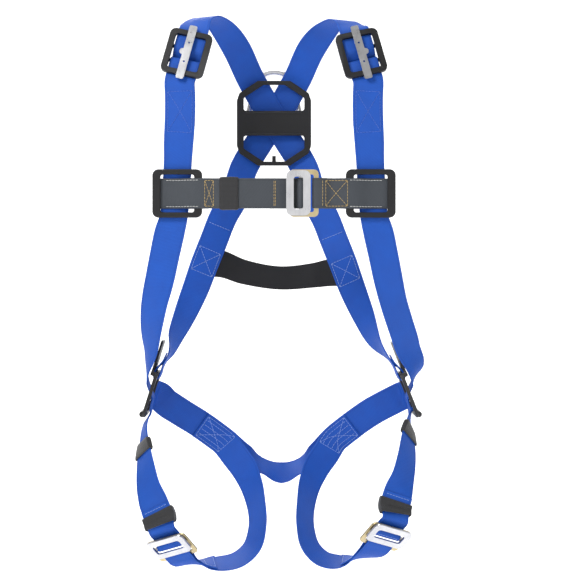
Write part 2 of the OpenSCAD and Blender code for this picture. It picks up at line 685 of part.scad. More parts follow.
placed() rear_strap(-1);  // rear_strap_left
placed() rear_strap(1);  // rear_strap_right
placed() front_strap(-1);  // front_strap_left
placed() front_strap(1);  // front_strap_right
placed() seat_strap();
placed() leg_strap(-1);  // leg_strap_left
placed() leg_strap(1);  // leg_strap_right
placed() waist_strap();
placed() back_pad();
placed() dorsal_ring();
placed() shoulder_frame(-1);  // shoulder_frame_left
placed() shoulder_frame(1);  // shoulder_frame_right
placed() shoulder_bar(-1);  // shoulder_bar_left
placed() shoulder_bar(1);  // shoulder_bar_right
placed() chest_frame(-1);  // chest_frame_left
placed() chest_frame(1);  // chest_frame_right
placed() chest_web(-1);  // chest_web_left
placed() chest_web(1);  // chest_web_right
placed() chest_buckle_frame();
placed() chest_buckle_link();
placed() chest_keeper();
placed() hip_frame(-1);  // hip_frame_left
placed() hip_frame(1);  // hip_frame_right
placed() hip_bar(-1);  // hip_bar_left
placed() hip_bar(1);  // hip_bar_right
placed() leg_buckle_frame(-1);  // leg_buckle_frame_left
placed() leg_buckle_frame(1);  // leg_buckle_frame_right
placed() leg_buckle_link(-1);  // leg_buckle_link_left
placed() leg_buckle_link(1);  // leg_buckle_link_right
placed() leg_keeper_upper(-1);  // leg_keeper_upper_left
placed() leg_keeper_upper(1);  // leg_keeper_upper_right
placed() leg_keeper_lower(-1);  // leg_keeper_lower_left
placed() leg_keeper_lower(1);  // leg_keeper_lower_right
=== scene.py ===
"""Full body safety harness: woven webbing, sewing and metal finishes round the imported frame.

The frame's straps are plain ribbons. Each is read back as a line with a width, and a woven ribbon
with rolled selvedges is made on the same line, so that nothing changes place or size.
"""
import itertools
import json
import math

import bmesh
import bpy
import numpy as np
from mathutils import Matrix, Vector


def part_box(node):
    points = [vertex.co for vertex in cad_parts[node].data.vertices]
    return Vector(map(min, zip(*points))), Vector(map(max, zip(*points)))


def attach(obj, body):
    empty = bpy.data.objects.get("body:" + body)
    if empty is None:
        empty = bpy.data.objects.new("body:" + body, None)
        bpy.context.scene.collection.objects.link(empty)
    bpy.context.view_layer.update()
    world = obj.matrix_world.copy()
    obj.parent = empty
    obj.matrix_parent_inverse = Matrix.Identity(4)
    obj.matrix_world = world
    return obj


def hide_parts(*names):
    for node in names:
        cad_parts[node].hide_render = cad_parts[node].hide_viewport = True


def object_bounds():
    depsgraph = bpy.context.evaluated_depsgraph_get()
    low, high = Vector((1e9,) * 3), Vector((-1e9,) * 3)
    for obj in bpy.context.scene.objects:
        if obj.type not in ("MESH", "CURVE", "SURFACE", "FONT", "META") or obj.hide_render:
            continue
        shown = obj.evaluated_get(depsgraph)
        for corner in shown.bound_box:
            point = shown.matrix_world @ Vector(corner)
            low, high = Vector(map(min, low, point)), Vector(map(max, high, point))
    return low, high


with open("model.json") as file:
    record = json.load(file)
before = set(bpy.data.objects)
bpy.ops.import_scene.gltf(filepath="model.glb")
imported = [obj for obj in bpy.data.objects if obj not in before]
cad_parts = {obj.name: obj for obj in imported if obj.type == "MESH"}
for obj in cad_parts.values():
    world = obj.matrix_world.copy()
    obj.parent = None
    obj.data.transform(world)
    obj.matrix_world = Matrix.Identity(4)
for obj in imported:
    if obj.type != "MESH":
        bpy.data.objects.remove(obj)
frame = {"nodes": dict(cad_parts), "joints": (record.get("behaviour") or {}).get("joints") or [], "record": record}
cad_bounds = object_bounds()

MM = 0.001
UP = Vector((0, 0, 1))
RIGHT = Vector((1, 0, 0))
SIDES = ("left", "right")
BODY_OF = {n: body for body, members in frame["record"]["behaviour"]["bodies"].items() for n in members}
SLOT_OF = {row["node"]: row["material_slot"] for row in frame["record"]["subparts"]}
JOINTS = {joint["child"]: joint for joint in frame["joints"]}

# Colours, linear RGB
# The _DEEP colours are the darker ends of each mix: random tone, and painted shade in the weave and rib valleys
# and the edge grooves
BLUE = (0.006, 0.098, 0.52)
BLUE_DEEP = (0.0025, 0.030, 0.22)
CHARCOAL = (0.062, 0.070, 0.082)
CHARCOAL_DEEP = (0.024, 0.028, 0.034)
BLACK = (0.012, 0.012, 0.014)
BLACK_DEEP = (0.006, 0.006, 0.007)
THREAD_PALE = (0.24, 0.38, 0.80)
THREAD_BLUE = (0.035, 0.13, 0.60)
THREAD_GOLD = (0.56, 0.38, 0.13)
THREAD_WHITE = (0.68, 0.68, 0.66)

# Weave pitches, millimetres
WARP_PITCH = 1.5
WEFT_PITCH = 1.1

# The section of a strap: place across as a share of the half width, and height as a share of
# the half thickness. A rolled selvedge, a shallow groove beside it, then a slight crown.
SECTION = [(1.0, 0.0), (0.985, 0.6), (0.955, 0.95), (0.92, 1.0), (0.875, 0.84), (0.80, 0.88),
           (0.40, 0.96), (0.0, 1.0)]

# Middle and half width of the painted shade line in the groove, as shares of the half width
GROOVE_AT = 0.86
GROOVE_HALF = 0.05


# ---- Shader tools ----

class Shader:
    """A material's node tree, with short calls to add and join nodes."""

    def __init__(self, name):
        self.material = bpy.data.materials.new(name)
        self.material.use_nodes = True
        self.tree = self.material.node_tree
        self.skin = self.tree.nodes["Principled BSDF"]

    def add(self, kind, **values):
        node = self.tree.nodes.new(kind)
        for key, value in values.items():
            setattr(node, key, value)
        return node

    def join(self, source, target):
        self.tree.links.new(source, target)

    def feed(self, socket, value):
        if isinstance(value, bpy.types.NodeSocket):
            self.join(value, socket)
        else:
            socket.default_value = value

    def math(self, operation, a, b=0.0, c=0.0):
        node = self.add("ShaderNodeMath", operation=operation)
        for socket, value in zip(node.inputs, (a, b, c)):
            self.feed(socket, value)
        return node.outputs[0]

    def noise(self, vector, scale, detail=3.0, rough=0.55, stretch=None):
        if stretch:
            mapping = self.add("ShaderNodeMapping")
            mapping.inputs["Scale"].default_value = stretch
            self.join(vector, mapping.inputs["Vector"])
            vector = mapping.outputs[0]
        node = self.add("ShaderNodeTexNoise")
        self.join(vector, node.inputs["Vector"])
        node.inputs["Scale"].default_value = scale
        node.inputs["Detail"].default_value = detail
        node.inputs["Roughness"].default_value = rough
        return node.outputs[0]

    def mix(self, share, a, b):
        node = self.add("ShaderNodeMix", data_type="RGBA")
        self.feed(node.inputs["Factor"], share)
        self.feed(node.inputs["A"], (*a, 1) if isinstance(a, tuple) else a)
        self.feed(node.inputs["B"], (*b, 1) if isinstance(b, tuple) else b)
        return node.outputs["Result"]

    def remap(self, value, low, high):
        node = self.add("ShaderNodeMapRange")
        self.join(value, node.inputs["Value"])
        node.inputs["To Min"].default_value = low
        node.inputs["To Max"].default_value = high
        return node.outputs[0]

    def bump(self, height, distance, strength=1.0, below=None):
        node = self.add("ShaderNodeBump")
        node.inputs["Distance"].default_value = distance
        node.inputs["Strength"].default_value = strength
        self.join(height, node.inputs["Height"])
        if below is not None:
            self.join(below, node.inputs["Normal"])
        return node.outputs[0]

    def finish(self, **values):
        for key, value in values.items():
            self.feed(self.skin.inputs[key.replace("_", " ")], value)
        return self.material


def painted_groove_shade(s):
    """Painted shade: a darker line in the groove beside each rolled edge, from the share of the way across."""
    parts = s.add("ShaderNodeSeparateXYZ")
    s.join(s.add("ShaderNodeUVMap", uv_map="share").outputs[0], parts.inputs[0])
    out = s.math("ABSOLUTE", s.math("MULTIPLY_ADD", parts.outputs[0], 2.0, -1.0))
    away = s.math("ABSOLUTE", s.math("SUBTRACT", out, GROOVE_AT))
    near = s.math("SUBTRACT", 1.0, s.math("DIVIDE", away, GROOVE_HALF))
    return s.math("MULTIPLY_ADD", s.math("MAXIMUM", near, 0.0), -0.45, 1.0)


def woven(name, light, deep, sheen, warp=WARP_PITCH, weft=WEFT_PITCH, relief=0.16):
    """Narrow woven webbing, with painted shade in the weave's valleys and in the groove by each edge. The UV map
    holds millimetres across and along the strap.
    """
    s = Shader(name)
    uv = s.add("ShaderNodeUVMap", uv_map="weave").outputs[0]
    parts = s.add("ShaderNodeSeparateXYZ")
    s.join(uv, parts.inputs[0])
    across, along = parts.outputs[0], parts.outputs[1]
    column = s.math("FLOOR", s.math("DIVIDE", across, warp))
    turn = s.math("MULTIPLY_ADD", along, math.tau / (2 * weft), s.math("MULTIPLY", column, math.pi / 2))
    pick = s.math("MULTIPLY_ADD", s.math("SINE", turn), 0.5, 0.5)
    ridge = s.math("ABSOLUTE", s.math("SINE", s.math("MULTIPLY", across, math.pi / warp)))
    height = s.math("MULTIPLY", s.math("POWER", ridge, 0.6), s.math("MULTIPLY_ADD", pick, 0.6, 0.4))
    place = s.add("ShaderNodeTexCoord").outputs["Object"]
    cloud = s.noise(place, 38, 4)
    fibre = s.noise(uv, 2.2, 2, stretch=(3.0, 0.35, 1))
    worn = s.math("MULTIPLY_ADD", cloud, 0.55, s.math("MULTIPLY", fibre, 0.45))
    # Painted shade: the base colour is darker in the valleys of the weave (height); the cloud and fibre noise are
    # random tone
    shade = s.math("MULTIPLY", s.remap(worn, 0.35, 1.25), s.math("MULTIPLY_ADD", height, 0.55, 0.45))
    # Painted shade line in the groove beside each edge of the strap
    shade = s.math("MULTIPLY", shade, painted_groove_shade(s))
    normal = s.bump(height, relief * MM)
    normal = s.bump(fibre, 0.03 * MM, below=normal)
    return s.finish(Base_Color=s.mix(shade, deep, light), Roughness=s.remap(worn, 0.50, 0.78),
                    Normal=normal, Sheen_Weight=sheen, Sheen_Roughness=0.45,
                    Sheen_Tint=(*light, 1), Specular_IOR_Level=0.35)


def elastic(name):
    """Black ribbed elastic: close ridges along the band's own run, with a soft fuzz and painted shade between the
    ridges.
    """
    s = Shader(name)
    uv = s.add("ShaderNodeUVMap", uv_map="weave").outputs[0]
    parts = s.add("ShaderNodeSeparateXYZ")
    s.join(uv, parts.inputs[0])
    rib = s.math("ABSOLUTE", s.math("SINE", s.math("MULTIPLY", parts.outputs[1], math.pi / 1.9)))
    tooth = s.math("ABSOLUTE", s.math("SINE", s.math("MULTIPLY", parts.outputs[0], math.pi / 0.9)))
    height = s.math("MULTIPLY_ADD", tooth, 0.25, s.math("POWER", rib, 0.5))
    fuzz = s.noise(uv, 1.5, 3)
    # Painted shade: the base colour is darker in the valleys between ribs (height), mixed with random fuzz
    return s.finish(Base_Color=s.mix(s.math("MULTIPLY", height, fuzz), BLACK_DEEP, (0.022, 0.022, 0.025)),
                    Roughness=s.remap(fuzz, 0.6, 0.85), Normal=s.bump(height, 0.25 * MM),
                    Sheen_Weight=0.2, Sheen_Roughness=0.5)


def thread(name, colour):
    """Twisted sewing thread with a little gloss."""
    s = Shader(name)
    place = s.add("ShaderNodeTexCoord").outputs["Object"]
    twist = s.noise(place, 1600, 2)
    tone = s.noise(place, 60, 2)
    deep = tuple(0.6 * c for c in colour)
    share = s.math("MULTIPLY_ADD", tone, 0.5, s.math("MULTIPLY", twist, 0.5))
    return s.finish(Base_Color=s.mix(share, deep, colour), Roughness=s.remap(twist, 0.35, 0.6),
                    Normal=s.bump(twist, 0.12 * MM), Sheen_Weight=0.3)


def moulded(name, colour=(0.005, 0.005, 0.006)):
    """Black moulded plastic: fine spark grain, softly worn, greyer along its convex edges."""
    s = Shader(name)
    place = s.add("ShaderNodeTexCoord").outputs["Object"]
    grain = s.noise(place, 1500, 3, 0.7)
    patch = s.noise(place, 45, 4)
    geometry = s.add("ShaderNodeNewGeometry")
    convexity = s.add("ShaderNodeMapRange")
    s.join(geometry.outputs["Pointiness"], convexity.inputs["Value"])
    convexity.inputs["From Min"].default_value = 0.52
    convexity.inputs["From Max"].default_value = 0.62
    # Lighter grey and a little rougher along convex edges where pointiness is high, in noise patches
    edge = s.math("MULTIPLY", convexity.outputs[0], s.remap(patch, 0.1, 0.5))
    body = s.mix(s.remap(patch, 0.0, 0.5), colour, (0.010, 0.0095, 0.010))
    return s.finish(Base_Color=s.mix(edge, body, (0.06, 0.06, 0.064)),
                    Roughness=s.math("ADD", s.remap(patch, 0.34, 0.52), s.math("MULTIPLY", edge, 0.1)),
                    Normal=s.bump(grain, 0.045 * MM), Specular_IOR_Level=0.38)


def plated(name, bright, dull, stretch):
    """Plated steel: drawn brush lines, cloudy plating and fine scratches."""
    s = Shader(name)
    place = s.add("ShaderNodeTexCoord").outputs["Object"]
    brush = s.noise(place, 260, 3, 0.6, stretch=stretch)
    cloud = s.noise(place, 55, 4)
    scratch = s.noise(place, 420, 5, 0.75, stretch=(0.25, 1.0, 0.6))
    tone = s.math("MULTIPLY_ADD", cloud, 0.6, s.math("MULTIPLY", brush, 0.4))
    normal = s.bump(brush, 0.02 * MM)
    normal = s.bump(scratch, 0.012 * MM, below=normal)
    return s.finish(Base_Color=s.mix(s.remap(tone, -0.2, 1.2), dull, bright), Metallic=1.0,
                    Roughness=s.remap(s.math("MULTIPLY_ADD", scratch, 0.5, s.math("MULTIPLY", cloud, 0.5)),
                                      0.16, 0.44),
                    Normal=normal)


MATERIALS = {
    "webbing_blue": woven("webbing_blue", BLUE, BLUE_DEEP, 0.12),
    "webbing_grey": woven("webbing_grey", CHARCOAL, CHARCOAL_DEEP, 0.20),
    "webbing_black": woven("webbing_black", BLACK, BLACK_DEEP, 0.15, warp=1.3, weft=1.0),
    "elastic_black": elastic("elastic_black"),
    "moulded_black": moulded("moulded_black"),
    "steel": plated("steel", (0.80, 0.80, 0.81), (0.48, 0.48, 0.50), (1.0, 1.0, 0.08)),
    "steel_gold": plated("steel_gold", (0.76, 0.64, 0.38), (0.46, 0.37, 0.20), (1.0, 1.0, 0.08)),
    "thread_pale": thread("thread_pale", THREAD_PALE),
    "thread_blue": thread("thread_blue", THREAD_BLUE),
    "thread_gold": thread("thread_gold", THREAD_GOLD),
    "thread_white": thread("thread_white", THREAD_WHITE),
}


# ---- Mesh tools ----

def welded(node):
    """A CAD node's mesh with its split corners joined."""
    bm = bmesh.new()
    bm.from_mesh(frame["nodes"][node].data)
    bmesh.ops.remove_doubles(bm, verts=bm.verts, dist=0.004 * MM)
    bmesh.ops.dissolve_degenerate(bm, edges=bm.edges, dist=0.001 * MM)
    bm.normal_update()
    return bm


def piece(name, mesh, body, material):
    """Adds a mesh to the scene as a piece that rides on a body."""
    obj = bpy.data.objects.new(name, mesh)
    bpy.context.scene.collection.objects.link(obj)
    mesh.materials.append(MATERIALS[material])
    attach(obj, body)
    return obj


def mesh_of(name, points, faces, smooth=True):
    mesh = bpy.data.meshes.new(name)
    mesh.from_pydata(points, [], faces)
    mesh.update()
    mesh.polygons.foreach_set("use_smooth", [smooth] * len(mesh.polygons))
    return mesh


# ---- Straps read back from the frame ----

class Line:
    """A strap's middle line: place, width direction, thickness direction, width, by arc length."""

    def __init__(self, node, first, hint):
        rails = self.read_rails(node)
        ends = [np.mean([rail[k] for rail in rails], axis=0) for k in (0, -1)]
        if first(Vector(ends[0])) < first(Vector(ends[1])):
            rails = [rail[::-1] for rail in rails]
        a, b, c, d = (np.array(rail) for rail in rails)
        centre = (a + b + c + d) / 4
        across = (b - a + c - d) / 2
        if across[0] @ np.array(hint) < 0:
            across = -across
        self.node = node
        self.width = np.linalg.norm(across, axis=1)
        self.thick = float(np.median(np.linalg.norm(d - a, axis=1)))
        self.resample(centre, across / self.width[:, None])

    @staticmethod
    def read_rails(node):
        """The four long edges of a ribbon, walked from one end ring of four points to the other."""
        bm = welded(node)
        tips = {v for v in bm.verts if len(v.link_edges) < 6}
        first = next(v for v in bm.verts if v in tips)
        ring = [v for v in tips if v is first or any(e.other_vert(v) is first for e in v.link_edges)]
        ring += [v for v in tips if v not in ring and any(e.other_vert(v) in ring for e in v.link_edges)]
        ring.sort(key=lambda v: (v.co - first.co).length)
        first, near, far, last = ring
        ring = [first, far, last, near]
        seen = set(ring)
        rails = [[v.co.copy()] for v in ring]
        while len(seen) < len(bm.verts):
            fresh = sorted({e.other_vert(v) for v in ring for e in v.link_edges} - seen,
                           key=lambda v: v.index)
            if len(fresh) != 4:
                raise RuntimeError(f"{node}: the ribbon can't be read past {ring[0].co}")
            ring = min(itertools.permutations(fresh), key=lambda order: sum(
                (a.co - b.co).length for a, b in zip(ring, order)))
            seen.update(ring)
            for rail, v in zip(rails, ring):
                rail.append(v.co.copy())
        bm.free()
        return rails

    def resample(self, centre, across, step=3.0 * MM):
        """Smooth stations about 3 mm apart, closer where the strap turns round a bar."""
        hops = np.linalg.norm(np.diff(centre, axis=0), axis=1)
        rate = np.diff(centre, axis=0) / hops[:, None]
        slope = np.vstack([rate[:1], (rate[:-1] * hops[1:, None] + rate[1:] * hops[:-1, None])
                           / (hops[1:] + hops[:-1])[:, None], rate[-1:]])
        places, acrosses, widths = [], [], []
        for i, hop in enumerate(hops):
            count = max(2, math.ceil(hop / step))
            for k in range(count + (i == len(hops) - 1)):
                t = k / count
                u = 1 - t
                places.append(centre[i] * (1 + 2 * t) * u * u + slope[i] * hop * t * u * u
                              + centre[i + 1] * t * t * (3 - 2 * t) - slope[i + 1] * hop * t * t * u)
                acrosses.append(across[i] * u + across[i + 1] * t)
                widths.append(self.width[i] * u + self.width[i + 1] * t)
        self.place = np.array(places)
        self.wide = np.array(widths)
        run = np.gradient(self.place, axis=0)
        self.run = run / np.linalg.norm(run, axis=1)[:, None]
        side = np.array(acrosses)
        side -= self.run * np.sum(side * self.run, axis=1)[:, None]
        self.side = side / np.linalg.norm(side, axis=1)[:, None]
        self.face = np.cross(self.side, self.run)
        self.s = np.concatenate([[0], np.cumsum(np.linalg.norm(np.diff(self.place, axis=0), axis=1))])

    @property
    def length(self):
        return float(self.s[-1])

    def pick(self, values, s):
        return np.array([np.interp(s, self.s, values[:, k]) for k in range(values.shape[1])])

    def at(self, s, v=0.0, h=0.0):
        """The point at arc length s, v across from the middle and h out from the middle plane."""
        p, side, face = (self.pick(x, s) for x in (self.place, self.side, self.face))
        return Vector(p + v * side + h * face)

    def nearest(self, point, low=0.0, high=1.0):
        """Arc length of the station nearest a point, between two shares of the length."""
        inside = (self.s >= low * self.length) & (self.s <= high * self.length)
        gap = np.linalg.norm(self.place - np.array(point), axis=1)
        return float(self.s[np.argmin(np.where(inside, gap, 9.0))])


def ribbon(line, material, name=None):
    """The woven strap on a line."""
    top = SECTION + [(-v, h) for v, h in SECTION[-2::-1]]
    loop = top + [(-v, -h) for v, h in top[1:-1]]
    n, rings = len(loop), len(line.s)
    t = line.thick / 2
    points, faces = [], []
    for p, side, face, wide in zip(line.place, line.side, line.face, line.wide):
        points += [tuple(p + v * wide / 2 * side + h * t * face) for v, h in loop]
    for i in range(rings - 1):
        for k in range(n):
            a, b = i * n + k, i * n + (k + 1) % n
            faces.append((a, b, b + n, a + n))
    faces.append(tuple(range(n)))
    faces.append(tuple(reversed(range((rings - 1) * n, rings * n))))
    name = name or "webbing_" + line.node
    mesh = mesh_of(name, points, faces)
    uv = mesh.uv_layers.new(name="weave")
    share = mesh.uv_layers.new(name="share")
    across = [v * 0.5 for v, _ in loop]
    for corner in mesh.loops:
        ring, k = divmod(corner.vertex_index, n)
        uv.data[corner.index].uv = (across[k] * line.wide[ring] / MM + 30, line.s[ring] / MM)
        share.data[corner.index].uv = (across[k] + 0.5, line.s[ring])
    body = BODY_OF[line.node]
    obj = piece(name, mesh, body, material)
    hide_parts(line.node)
    return obj


# ---- Sewing ----

STITCH = 3.6 * MM
STITCH_GAP = 1.0 * MM
THREAD_R = 0.42 * MM
THREAD_SIDES = 6


class Seam:
    """Stitches collected into one mesh that rides on one body."""

    def __init__(self, name, body, material):
        self.name, self.body, self.material = name, body, material
        self.points, self.faces = [], []

    def bead(self, centres, radii):
        base = len(self.points)
        for i, (p, r) in enumerate(zip(centres, radii)):
            run = (centres[min(i + 1, len(centres) - 1)] - centres[max(i - 1, 0)]).normalized()
            x = run.orthogonal().normalized()
            y = run.cross(x)
            for k in range(THREAD_SIDES):
                a = math.tau * k / THREAD_SIDES
                self.points.append(tuple(p + r * (math.cos(a) * x + math.sin(a) * y)))
        rings = len(centres)
        for i in range(rings - 1):
            for k in range(THREAD_SIDES):
                a, b = base + i * THREAD_SIDES + k, base + i * THREAD_SIDES + (k + 1) % THREAD_SIDES
                self.faces.append((a, b, b + THREAD_SIDES, a + THREAD_SIDES))
        self.faces.append(tuple(reversed(range(base, base + THREAD_SIDES))))
        top = base + (rings - 1) * THREAD_SIDES
        self.faces.append(tuple(range(top, top + THREAD_SIDES)))

    def sew(self, line, start, end, side, lift=0.0):
        """A row of stitches from (s, v) to (s, v) on one face of a strap."""
        length = math.dist(start, end)
        count = max(1, round(length / (STITCH + STITCH_GAP)))
        pitch = length / count
        share = STITCH / (STITCH + STITCH_GAP)
        for k in range(count):
            low, high = (k + (1 - share) / 2) * pitch, (k + (1 + share) / 2) * pitch
            centres = []
            for j, sink in enumerate((0.45, 0.0, -0.12, 0.0, 0.45)):
                d = (low + (high - low) * j / 4) / length
                s, v = (start[i] + (end[i] - start[i]) * d for i in (0, 1))
                h = side * (line.thick / 2 + lift + THREAD_R * (0.35 - sink * 1.6))
                centres.append(line.at(s, v, h))
            self.bead(centres, [THREAD_R * x for x in (0.75, 1, 1, 1, 0.75)])

    def box(self, line, s, length, width, side, cross=True, lift=0.0, v=0.0):
        """A stitched box, with its two diagonals if it is a box-X."""
        c = [(s - length / 2, v - width / 2), (s + length / 2, v - width / 2),
             (s + length / 2, v + width / 2), (s - length / 2, v + width / 2)]
        rows = [(c[0], c[1]), (c[1], c[2]), (c[2], c[3]), (c[3], c[0])]
        if cross:
            rows += [(c[0], c[2]), (c[1], c[3])]
        for a, b in rows:
            self.sew(line, a, b, side, lift)

    def close(self, slot):
        return piece(self.name, mesh_of(self.name, self.points, self.faces), self.body, self.material)


# ---- Hardware ----

def tooled(node, bevel, segments=3, material=None, name=None):
    """A CAD part with its corners rounded and its flat faces whole."""
    bm = welded(node)
    bmesh.ops.dissolve_limit(bm, angle_limit=math.radians(1.0), verts=bm.verts, edges=bm.edges)
    edges = [e for e in bm.edges if len(e.link_faces) == 2 and e.calc_face_angle(0) > math.radians(40)]
    bmesh.ops.bevel(bm, geom=edges, offset=bevel, segments=segments, profile=0.5,
                    affect="EDGES", clamp_overlap=True, loop_slide=True)
    bmesh.ops.recalc_face_normals(bm, faces=bm.faces)
    name = name or node + "_part"
    mesh = bpy.data.meshes.new(name)
    bm.to_mesh(mesh)
    bm.free()
    mesh.polygons.foreach_set("use_smooth", [True] * len(mesh.polygons))
    mesh.set_sharp_from_angle(angle=math.radians(42))
    obj = piece(name, mesh, BODY_OF[node], material or SLOT_OF[node])
    smooth = obj.modifiers.new("weighted", "WEIGHTED_NORMAL")
    smooth.keep_sharp = True
    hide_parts(node)
    return obj


# ---- The parts ----

def high(p):
    return p.z


def right_first(p):
    return p.x


def outer_first(p):
    return abs(p.x)


def make_straps():
    """Every strap as a woven ribbon; returns their lines by node name."""
    lines = {}
    for s in SIDES:
        lines["rear_strap_" + s] = Line("rear_strap_" + s, high, RIGHT)
        lines["front_strap_" + s] = Line("front_strap_" + s, high, RIGHT)
        lines["leg_strap_" + s] = Line("leg_strap_" + s, high, UP)
        lines["chest_web_" + s] = Line("chest_web_" + s, outer_first, UP)
    lines["seat_strap"] = Line("seat_strap", right_first, UP)
    lines["waist_strap"] = Line("waist_strap", right_first, UP)
    for node, line in lines.items():
        ribbon(line, SLOT_OF[node])
    return lines


RIB_R = 1.3 * MM
RIB_INSET = 2.6 * MM


def make_hardware():
    bevels = {"shoulder_frame": 1.7, "chest_frame": 2.0, "hip_frame": 1.2, "shoulder_bar": 0.5,
              "hip_bar": 0.3, "leg_buckle_frame": 0.9, "leg_buckle_link": 0.7}
    for stem, bevel in bevels.items():
        for s in SIDES:
            tooled(f"{stem}_{s}", bevel * MM)
    tooled("chest_buckle_frame", 0.9 * MM)
    tooled("chest_buckle_link", 0.7 * MM)
    tooled("back_pad", 1.5 * MM, 4)
    tooled("dorsal_ring", 0.4 * MM)
    pad_ribs()


def pad_ribs():
    """Moulded lips along the edges of the pad's cross bar, on both faces."""
    lo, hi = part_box("back_pad")
    middle = (lo + hi) / 2
    points = [v.co - middle for v in frame["nodes"]["back_pad"].data.vertices]
    corners = [p for p in points if 36 * MM < abs(p.x) < 48 * MM]
    bar = min(abs(p.z) for p in corners)
    wide = max(abs(p.x) for p in corners if abs(p.z) - bar < 0.5 * MM)
    ribs = Seam("pad_ribs", BODY_OF["back_pad"], "moulded_black")
    for face in (lo.y, hi.y):
        for sign in (-1, 1):
            z = middle.z + sign * (bar - RIB_INSET)
            line = [Vector((x * wide, face, z)) for x in (-1.0, -0.9, 0.0, 0.9, 1.0)]
            ribs.bead(line, [RIB_R * k for k in (0.5, 1, 1, 1, 0.5)])
    ribs.close("moulded_black")


SLEEVE_WALL = 1.3 * MM
SLEEVE_CORNER = 1.1 * MM
SLEEVE_RINGS = 9
CORNER_STEPS = 4


def rounded_section(w, t, r):
    """A rectangle w by t with round corners of radius r, as (across, through) points."""
    corners = ((w / 2 - r, t / 2 - r, 0), (r - w / 2, t / 2 - r, 90), (r - w / 2, r - t / 2, 180),
               (w / 2 - r, r - t / 2, 270))
    return [(x + r * math.cos(a), y + r * math.sin(a)) for x, y, start in corners
            for a in (math.radians(start + 90 * k / CORNER_STEPS) for k in range(CORNER_STEPS + 1))]


def sleeve_skins(line, s0, s1, inner_w, inner_t, offset):
    """Rings of points along a sleeve's outside and back along its inside, thin at both ends."""
    skins = []
    for outside in (True, False):
        for i in range(SLEEVE_RINGS) if outside else reversed(range(SLEEVE_RINGS)):
            to_end = abs(2 * i / (SLEEVE_RINGS - 1) - 1)
            grow = SLEEVE_WALL * (1 - 0.55 * to_end ** 6) if outside else 0.0
            s = s0 + (s1 - s0) * i / (SLEEVE_RINGS - 1)
            r = SLEEVE_CORNER + grow if outside else SLEEVE_CORNER * 0.8
            skins.append([line.at(s, v, h + offset) for v, h in
                          rounded_section(inner_w + 2 * grow, inner_t + 2 * grow, r)])
    return skins


def map_sleeve(mesh, n, lap, length):
    """A UV map in millimetres round and along a sleeve with n points in each ring."""
    uv = mesh.uv_layers.new(name="weave")
    for poly in mesh.polygons:
        places = [divmod(mesh.loops[c].vertex_index, n) for c in poly.loop_indices]
        closing = max(k for _, k in places) == n - 1 and min(k for _, k in places) == 0
        for c, (ring, k) in zip(poly.loop_indices, places):
            turn = n if closing and k == 0 else k
            row = min(ring, 2 * SLEEVE_RINGS - 1 - ring)
            uv.data[c].uv = (turn / n * lap / MM, length * row / (SLEEVE_RINGS - 1) / MM)


def sleeve(name, node, line, s0, s1, inner_w, inner_t, offset):
    """A band of elastic that follows the strap it is round."""
    skins = sleeve_skins(line, s0, s1, inner_w, inner_t, offset)
    n, count = len(skins[0]), len(skins)
    faces = []
    for i in range(count):
        j = (i + 1) % count
        for k in range(n):
            m = (k + 1) % n
            faces.append((i * n + k, i * n + m, j * n + m, j * n + k))
    mesh = mesh_of(name, [tuple(p) for skin in skins for p in skin], faces)
    map_sleeve(mesh, n, 2 * (inner_w + inner_t), s1 - s0)
    obj = piece(name, mesh, BODY_OF[node], "elastic_black")
    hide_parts(node)


KEEPER_HALF = 11 * MM
CHEST_KEEPER_HALF = 14 * MM
KEEPER_INNER_W = {"upper": 48.8 * MM, "lower": 48.8 * MM, "chest": 46.5 * MM}
KEEPER_INNER_T = {"upper": 5.4 * MM, "lower": 9.8 * MM}


def make_leg_keeper(line, level, side):
    """An upper keeper holds one layer; a lower one is set out to hold the free tail as well."""
    node = f"leg_keeper_{level}_{side}"
    place = Vector(JOINTS[node]["pos_m"])
    s = line.nearest(place, 0.3, 0.93)
    offset = (place - line.at(s)).dot(Vector(line.pick(line.face, s))) if level == "lower" else 0.0
    sleeve("elastic_" + node, node, line, s - KEEPER_HALF, s + KEEPER_HALF, KEEPER_INNER_W[level],
           KEEPER_INNER_T[level], offset)


def make_chest_keeper(line):
    lo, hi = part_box("chest_keeper")
    middle = (lo + hi) / 2
    s = line.nearest(middle, 0.4, 0.8)
    offset = (middle - line.at(s)).dot(Vector(line.pick(line.face, s)))
    sleeve("elastic_chest_keeper", "chest_keeper", line, s - CHEST_KEEPER_HALF, s + CHEST_KEEPER_HALF,
           KEEPER_INNER_W["chest"], hi.y - lo.y - 3.2 * MM, offset)


def make_keepers(lines):
    for side in SIDES:
        for level in ("upper", "lower"):
            make_leg_keeper(lines["front_strap_" + side], level, side)
    make_chest_keeper(lines["chest_web_left"])


# Widths of the stitched boxes on the body webbing and on the lighter webbing
SEW = 36 * MM
SEW_WAIST = 32 * MM
SEW_CHEST = 38 * MM


def row_across(seam, line, s, width, face):
    """One row of stitches straight across a strap."""
    seam.sew(line, (s, -width / 2), (s, width / 2), face)


def front_of(line, s):
    """Which face of a strap looks to the front (-Y) at arc length s."""
    return -1 if line.pick(line.face, s)[1] > 0 else 1


def sew_front_straps(lines):
    """The sewn lap below each shoulder adjuster, and the hem of each free tail at the thigh."""
    for s in SIDES:
        line = lines["front_strap_" + s]
        seam = Seam("stitching_front_strap_" + s, BODY_OF[line.node], "thread_blue")
        hem = Seam("hem_front_strap_" + s, BODY_OF[line.node], "thread_pale")
        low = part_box("shoulder_frame_" + s)[0]
        below_frame = Vector((line.at(0).x, low.y, low.z - 16 * MM))
        middle = line.nearest(below_frame, 0.08, 0.5) + 32 * MM
        face = front_of(line, middle)
        seam.box(line, middle, 62 * MM, SEW, face)
        seam.box(line, middle, 62 * MM, SEW, -face, cross=False)
        pin = Vector(JOINTS["leg_buckle_link_" + s]["pos_m"])
        for row in (line.length - 4 * MM, line.nearest(pin, 0.75, 0.9) + 30 * MM):
            row_across(hem, line, row, SEW, front_of(line, row))
        seam.close("webbing_blue")
        hem.close("webbing_blue")


